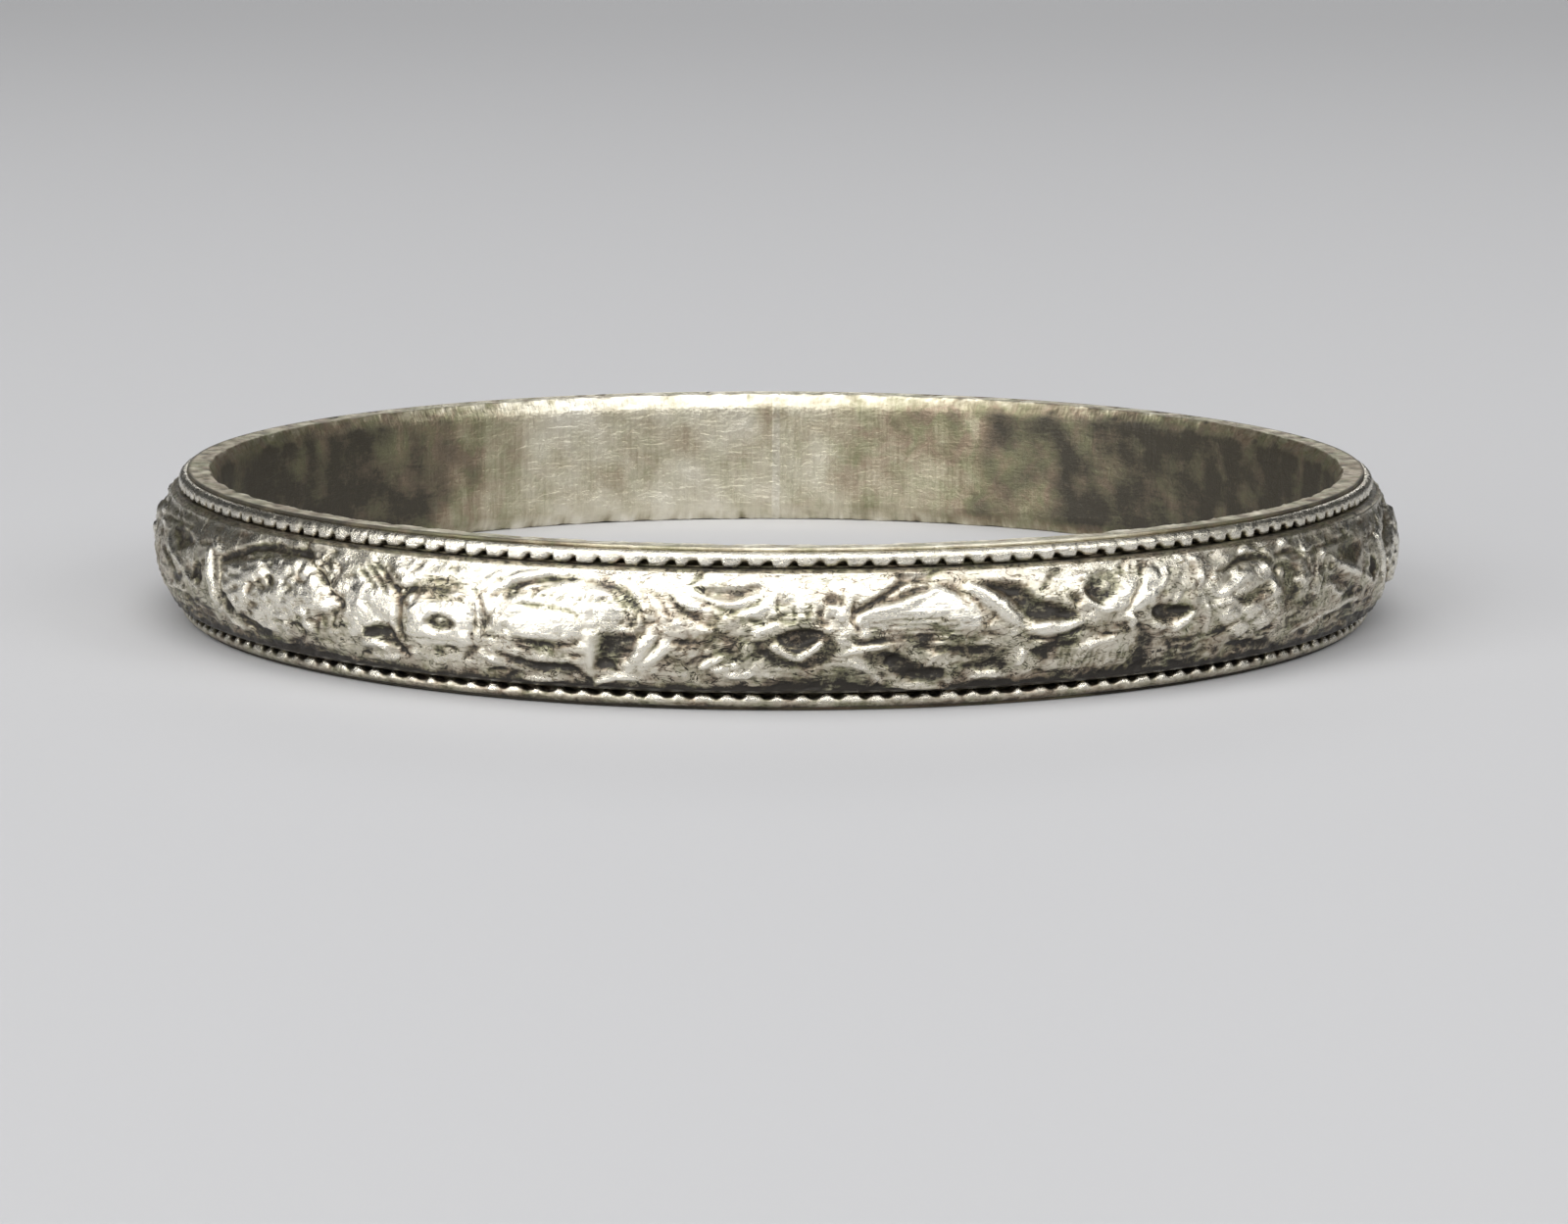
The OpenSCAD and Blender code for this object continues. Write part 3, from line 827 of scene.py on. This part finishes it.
def bead_swell(turns, seam_at, seed, lean, ends):
    """How much of a bead's height is left at each turn, from 0 in a notch to about 1 on a bead."""
    rng = np.random.default_rng(seed)
    phase = (turns - seam_at) / (360 / BEADS) + 0.5
    bead = np.floor(phase).astype(int) % BEADS
    skew = rng.normal(0, BEAD_SKEW, BEADS)[bead]
    size = np.clip(rng.normal(1, BEAD_SIZE, BEADS), SMALLEST_BEAD, LARGEST_BEAD)[bead]
    part = phase % 1
    part = np.clip(part + skew * np.sin(2 * math.pi * part), 0, 1)
    slant = lean * np.tanh(4 * np.sin(np.radians(turns - 10)))
    swell = np.clip(np.minimum(part / (ends + slant), (1 - part) / (ends - slant)), 0, 1)
    return swell * swell * (3 - 2 * swell) * size


def wire_loops(turns, seam_at, z_mid, strip_side, seed, lean, ends, reach, square, dark):
    """A wire rolled into beads, cut apart on the side that faces the strip: strip_side is 1 up, -1 down.
    The beads lean by up to lean, one way on the left half of the band and the other way on the right half.
    ends is the share of a bead that slopes at each end, and reach is how far it rises towards the strip.
    square is the power of the section's rounded corner: 2 is a circle, and more is squarer.
    dark is how much painted shade the wire gets underneath and deep in the groove."""
    lobe = (bead_swell(turns, seam_at, seed, lean, ends) * reach)[:, None]
    a = np.linspace(0, 2 * math.pi, WIRE_SIDES, endpoint=False) - math.pi / 2
    out, up = np.cos(a), np.sin(a)
    to_strip = ramp(up * strip_side, -0.25, 1.05)[None, :]
    full = (np.abs(out) ** square + np.abs(up) ** square) ** (-1 / square)
    rad = wire_rad * np.where((up * strip_side > 0) & (out > 0), full, 1.0)
    rad = rad * (1 - 0.08 * np.clip(out, 0, 1)[None, :] * (1 - lobe))
    r = np.minimum(wire_r + rad * out * (1 - 0.35 * to_strip * (1 - lobe)), wire_r + wire_rad)
    rise_mm = rad * up * (1 - to_strip * (0.78 - 0.92 * lobe))
    z = z_mid + np.clip(rise_mm, -1.15 * wire_rad, 1.15 * wire_rad)
    notch = np.clip(1 - 1.5 * lobe, 0, 1)
    # painted shade in the notches between beads on the strip side and on the wire's inner face; the beads are
    # lighter
    tone = 0.35 + (0.6 * lobe - 2.0 * notch) * to_strip
    tone = tone - 1.5 * np.clip(-out * 1.5, 0, 1)[None, :]
    # painted shade underneath and deep in the groove
    tone = tone - dark * (np.clip(0.25 - up, 0, 1) + ramp(up, 0.7, 0.3))[None, :]
    return r, z, np.clip(tone, -0.6 - 0.3 * dark, 1)


# ---- materials ----

class Nodes:
    """Short names for building a node tree."""

    def __init__(self, name):
        self.material = bpy.data.materials.new(name)
        self.material.use_nodes = True
        self.tree = self.material.node_tree
        self.shader = self.tree.nodes["Principled BSDF"]

    def add(self, kind, inputs=(), **settings):
        """A new node with these settings, and with a link or a value for each of these inputs."""
        node = self.tree.nodes.new(kind)
        for key, value in settings.items():
            setattr(node, key, value)
        for socket, value in dict(inputs).items():
            self.set(node, socket, value)
        return node

    def set(self, node, socket, value):
        """Links a socket to another one, or gives it a value."""
        if isinstance(value, bpy.types.NodeSocket):
            self.tree.links.new(value, node.inputs[socket])
        elif isinstance(value, tuple) and len(value) == 3 and node.inputs[socket].type == "RGBA":
            node.inputs[socket].default_value = (*value, 1)
        else:
            node.inputs[socket].default_value = value

    def math(self, kind, a, b=0.0):
        return self.add("ShaderNodeMath", {0: a, 1: b}, operation=kind).outputs[0]

    def attribute(self, name, output="Fac"):
        return self.add("ShaderNodeAttribute", attribute_name=name).outputs[output]

    def scaled(self, vector, scale):
        return self.add("ShaderNodeVectorMath", {0: vector, 1: scale}, operation="MULTIPLY").outputs[0]

    def place(self):
        """The point in millimetres."""
        return self.scaled(self.add("ShaderNodeTexCoord").outputs["Object"], (1 / MM,) * 3)

    def noise(self, vector, scale, detail, rough, distortion=0.0):
        inputs = {"Vector": vector, "Scale": scale, "Detail": detail, "Roughness": rough}
        return self.add("ShaderNodeTexNoise", {**inputs, "Distortion": distortion}).outputs["Fac"]

    def span(self, value, low, high, to_low=0.0, to_high=1.0):
        """to_low where the value is low, to_high where it is high, even in between and no further."""
        inputs = {"Value": value, "From Min": low, "From Max": high, "To Min": to_low, "To Max": to_high}
        return self.add("ShaderNodeMapRange", inputs).outputs["Result"]

    def mix(self, share, a, b):
        """Colour a, or colour b where share is 1. A Mix node keeps its colours in the sockets named here."""
        colour_a, colour_b, result = 6, 7, 2
        inputs = {"Factor": share, colour_a: a, colour_b: b}
        return self.add("ShaderNodeMix", inputs, data_type="RGBA").outputs[result]

    def bump(self, height, distance, below=None):
        inputs = {"Height": height, "Distance": distance}
        if below is not None:
            inputs["Normal"] = below
        return self.add("ShaderNodeBump", inputs).outputs["Normal"]


# colours are linear RGB
# the darkest colours serve tarnish and painted shade alike, the brightest one worn metal and painted
# highlights
TARNISH_AND_SHADE = (0.022, 0.018, 0.013)
THIN_TARNISH_AND_SHADE = (0.05, 0.043, 0.03)
OLIVE_FILM = (0.295, 0.285, 0.175)
BROWN_FILM = (0.335, 0.265, 0.19)
RUBBED_AND_HIGHLIGHT = (0.96, 0.92, 0.81)
WHITE_GOLD = (0.75, 0.70, 0.58)
LINING = (0.68, 0.63, 0.47)
SOLDER = (0.70, 0.66, 0.54)


def old_gold(name, colour, rough, film, streaks=0.0, contrast=0.75, lines=0.0, tarnish_and_shade=TARNISH_AND_SHADE):
    """Worn white gold: bright where it is worn smooth and where a highlight is painted, dark where it is
    tarnished and where shade is painted, and mottled in between.

    film is how much of the ground has dulled, streaks how strongly upright marks show, contrast how far
    mottling moves the tone, and lines how dark the fine wandering scratches are."""
    n = Nodes(name)
    place, wrap, tone = n.place(), n.attribute("wrap", "Vector"), n.attribute("tone")
    patches = n.noise(place, 1.3, 5, 0.62)
    mottle = n.noise(place, 6.0, 6, 0.68, 0.5)
    specks = n.noise(place, 21, 3, 0.6)
    flow = n.noise(n.scaled(wrap, (2.2, 13, 6)), 1.0, 5, 0.65, 0.8)
    upright = n.noise(n.scaled(wrap, (17, 1.1, 1)), 1.0, 5, 0.62)
    blotches = n.math("ADD", n.span(mottle, 0.3, 0.7, -0.5, 0.5), n.span(specks, 0.3, 0.7, -0.22, 0.22))
    blotches = n.math("ADD", blotches, n.span(flow, 0.3, 0.7, -0.35, 0.35))
    level = n.math("ADD", tone, n.math("MULTIPLY", blotches, contrast))
    if lines:
        wander = n.noise(n.scaled(wrap, (2.6, 6.5, 4)), 1.0, 3, 0.6, 1.2)
        thread = n.span(n.math("ABSOLUTE", n.math("SUBTRACT", wander, 0.5)), 0.006, 0.026, lines, 0.0)
        level = n.math("SUBTRACT", level, thread)
    dimming = n.math("MULTIPLY", n.span(patches, 0.36, 0.66), film)
    dimming = n.math("ADD", dimming, n.math("MULTIPLY", n.span(upright, 0.36, 0.7), streaks))
    dimming = n.math("MULTIPLY", dimming, n.span(tone, 0.1, 0.6, 1.0, 0.15))
    # low tone, from tarnish and painted shade, also dims the metal towards the film
    dimming = n.math("ADD", dimming, n.span(level, 0.2, -0.5, 0.0, 0.8))
    metal = n.mix(n.span(level, 0.0, 0.9), colour, RUBBED_AND_HIGHLIGHT)
    hue = n.span(n.noise(place, 2.1, 4, 0.6, 0.8), 0.4, 0.6)
    metal = n.mix(dimming, metal, n.mix(hue, OLIVE_FILM, BROWN_FILM))
    # the lowest tone, from tarnish and painted shade, turns to the darkest colour
    grime_and_shade = n.span(level, -0.35, -0.95)
    n.set(n.shader, "Base Color", n.mix(grime_and_shade, metal, tarnish_and_shade))
    n.set(n.shader, "Metallic", n.span(grime_and_shade, 0.2, 1.0, 1.0, 0.3))
    polish = n.span(level, -0.6, 0.9, rough + 0.13, rough - 0.06)
    n.set(n.shader, "Roughness", n.math("ADD", polish, n.span(patches, 0.3, 0.7, -0.03, 0.09)))
    normal = n.bump(specks, 0.006 * MM)
    normal = n.bump(mottle, 0.02 * MM, normal)
    normal = n.bump(flow, 0.012 * MM, normal)
    if streaks:
        normal = n.bump(upright, 0.012 * MM, normal)
    n.set(n.shader, "Normal", normal)
    return n.material


strip_metal = old_gold("strip_metal", WHITE_GOLD, 0.24, film=0.35, lines=0.85)
wire_metal = old_gold("wire_metal", WHITE_GOLD, 0.22, film=0.2)
shank_metal = old_gold("shank_metal", LINING, 0.34, film=0.3, streaks=0.32, contrast=0.2,
                       tarnish_and_shade=THIN_TARNISH_AND_SHADE)
solder_metal = old_gold("solder_metal", SOLDER, 0.32, film=0.3, contrast=0.4)


# ---- the pieces ----

SHANK_COLUMNS = 900


def piece(name, turns, loops, material, node):
    """One solid that takes the place of a CAD node."""
    obj = ring_mesh(name, turns, *loops)
    obj.data.materials.append(material)
    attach(obj, "root")
    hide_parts(node)


def lapped(loop_r, loop_z, tone):
    """A seam's sections, a hair proud at its middle and sunk at its two ends, as solder flows."""
    along = np.linspace(-1, 1, len(loop_r))[:, None]
    proud = 0.006 - 0.012 * along**4
    nr, nz = section_normals(loop_r, loop_z)
    return loop_r + proud * nr, np.clip(loop_z + proud * nz, 0, band_w), tone


def build(name, node, columns, seam_name, seam_node, seam_columns, loops_at, metal):
    """A ring of stock metal and the seam that closes it. loops_at gives their sections at some turns."""
    at = seam_turn(seam_node)
    turns = open_turns(at, columns)
    piece(name, turns, loops_at(turns), metal, node)
    turns = seam_turns(at, seam_columns)
    piece(seam_name, turns, lapped(*loops_at(turns)), solder_metal, seam_node)


def build_wire(edge, z_mid, strip_side, seed, **beads):
    seam_node = f"{edge}_wire_solder_seam"
    at = seam_turn(seam_node)
    build(f"{edge}_milgrain", f"{edge}_milgrain_wire", BEADS * BEAD_STEPS, f"{edge}_wire_seam", seam_node, 9,
          lambda turns: wire_loops(turns, at, z_mid, strip_side, seed, **beads), wire_metal)


build("band_shank", "shank", SHANK_COLUMNS, "shank_seam", "shank_solder_seam", 9,
      shank_loops, shank_metal)
build("band_floral_strip", "floral_strip", STRIP_COLUMNS, "strip_seam", "strip_solder_seam", 6,
      strip_loops, strip_metal)
build_wire("upper", band_w - wire_in, -1, 31, lean=0.2, ends=0.32, reach=1, square=5, dark=0)
build_wire("lower", wire_in, 1, 32, lean=0.1, ends=0.45, reach=0.8, square=2.5, dark=0.9)


# ---- floor, light and camera ----

FLOOR_HALF = 2.5
FLOOR_GREY = (0.55, 0.55, 0.56)

# each lamp's turn, elevation, distance and size in metres, and power in watts
LAMPS = {
    "ceiling": (0, 86, 1.6, (1.6, 1.6), 9),
    "key": (12, 41, 0.5, (0.40, 0.3), 1.3),
    "left_key": (-50, 38, 0.5, (0.36, 0.32), 1.3),
    "right_key": (62, 32, 0.5, (0.26, 0.24), 0.7),
    "side": (-53, 8, 0.5, (0.13, 0.16), 0.6),
    "back": (178, 22, 0.6, (0.3, 0.1), 0.35),
}
SKY = (0.92, 0.94, 0.96, 1)
SKY_STRENGTH = 0.05

# the camera: its angles in degrees, its distance in bore radii, and its aim a little off the origin
LENS = 98
ELEVATION = 9.466
ROLL = 0.1855
DISTANCE = 7.7435
AIM_RIGHT, AIM_DOWN = 0.002, 0.0027


def floor():
    mesh = bpy.data.meshes.new("floor")
    corners = [(x * FLOOR_HALF, y * FLOOR_HALF, 0) for x, y in ((-1, -1), (1, -1), (1, 1), (-1, 1))]
    mesh.from_pydata(corners, [], [(0, 1, 2, 3)])
    obj = put_in_scene("floor", mesh)
    n = Nodes("floor_paper")
    n.set(n.shader, "Base Color", FLOOR_GREY)
    n.set(n.shader, "Roughness", 0.9)
    mesh.materials.append(n.material)


def softbox(name, turn, elevation, distance, size, power):
    """A rectangular lamp that faces the ring from a turn and an elevation in degrees."""
    light = bpy.data.lights.new(name, "AREA")
    light.shape = "RECTANGLE"
    light.size, light.size_y = size
    light.energy = power
    obj = put_in_scene(name, light)
    t, e = math.radians(turn), math.radians(elevation)
    obj.location = Vector((math.sin(t) * math.cos(e), -math.cos(t) * math.cos(e), math.sin(e))) * distance
    obj.rotation_euler = (Vector((0, 0, mid_z * MM)) - obj.location).to_track_quat("-Z", "Y").to_euler()


def studio_light():
    for name, lamp in LAMPS.items():
        softbox(name, *lamp)
    world = bpy.data.worlds.new("studio")
    bpy.context.scene.world = world
    world.use_nodes = True
    background = world.node_tree.nodes["Background"].inputs
    background["Color"].default_value = SKY
    background["Strength"].default_value = SKY_STRENGTH


def camera():
    """Low in front of the band and close to it, so that the far side looks narrower than the near one."""
    elevation, roll = math.radians(ELEVATION), math.radians(ROLL)
    place = Vector((0, -math.cos(elevation), math.sin(elevation))) * (DISTANCE * bore_r * MM)
    ahead = -place.normalized()
    side = Vector((1, 0, 0))
    ahead = (ahead + side * AIM_RIGHT - side.cross(ahead) * AIM_DOWN).normalized()
    side = ahead.cross(Vector((0, 0, 1))).normalized()
    above = side.cross(ahead)
    across = side * math.cos(roll) + above * math.sin(roll)
    above = above * math.cos(roll) - side * math.sin(roll)
    data = bpy.data.cameras.new("camera")
    data.sensor_width = 36
    data.lens = LENS
    data.clip_start = 0.005
    obj = put_in_scene("camera", data)
    turn = Matrix((across, above, -ahead)).transposed().to_4x4()
    obj.matrix_world = Matrix.Translation(place) @ turn
    bpy.context.scene.camera = obj


floor()
studio_light()
camera()
bpy.context.scene.view_settings.view_transform = "Standard"
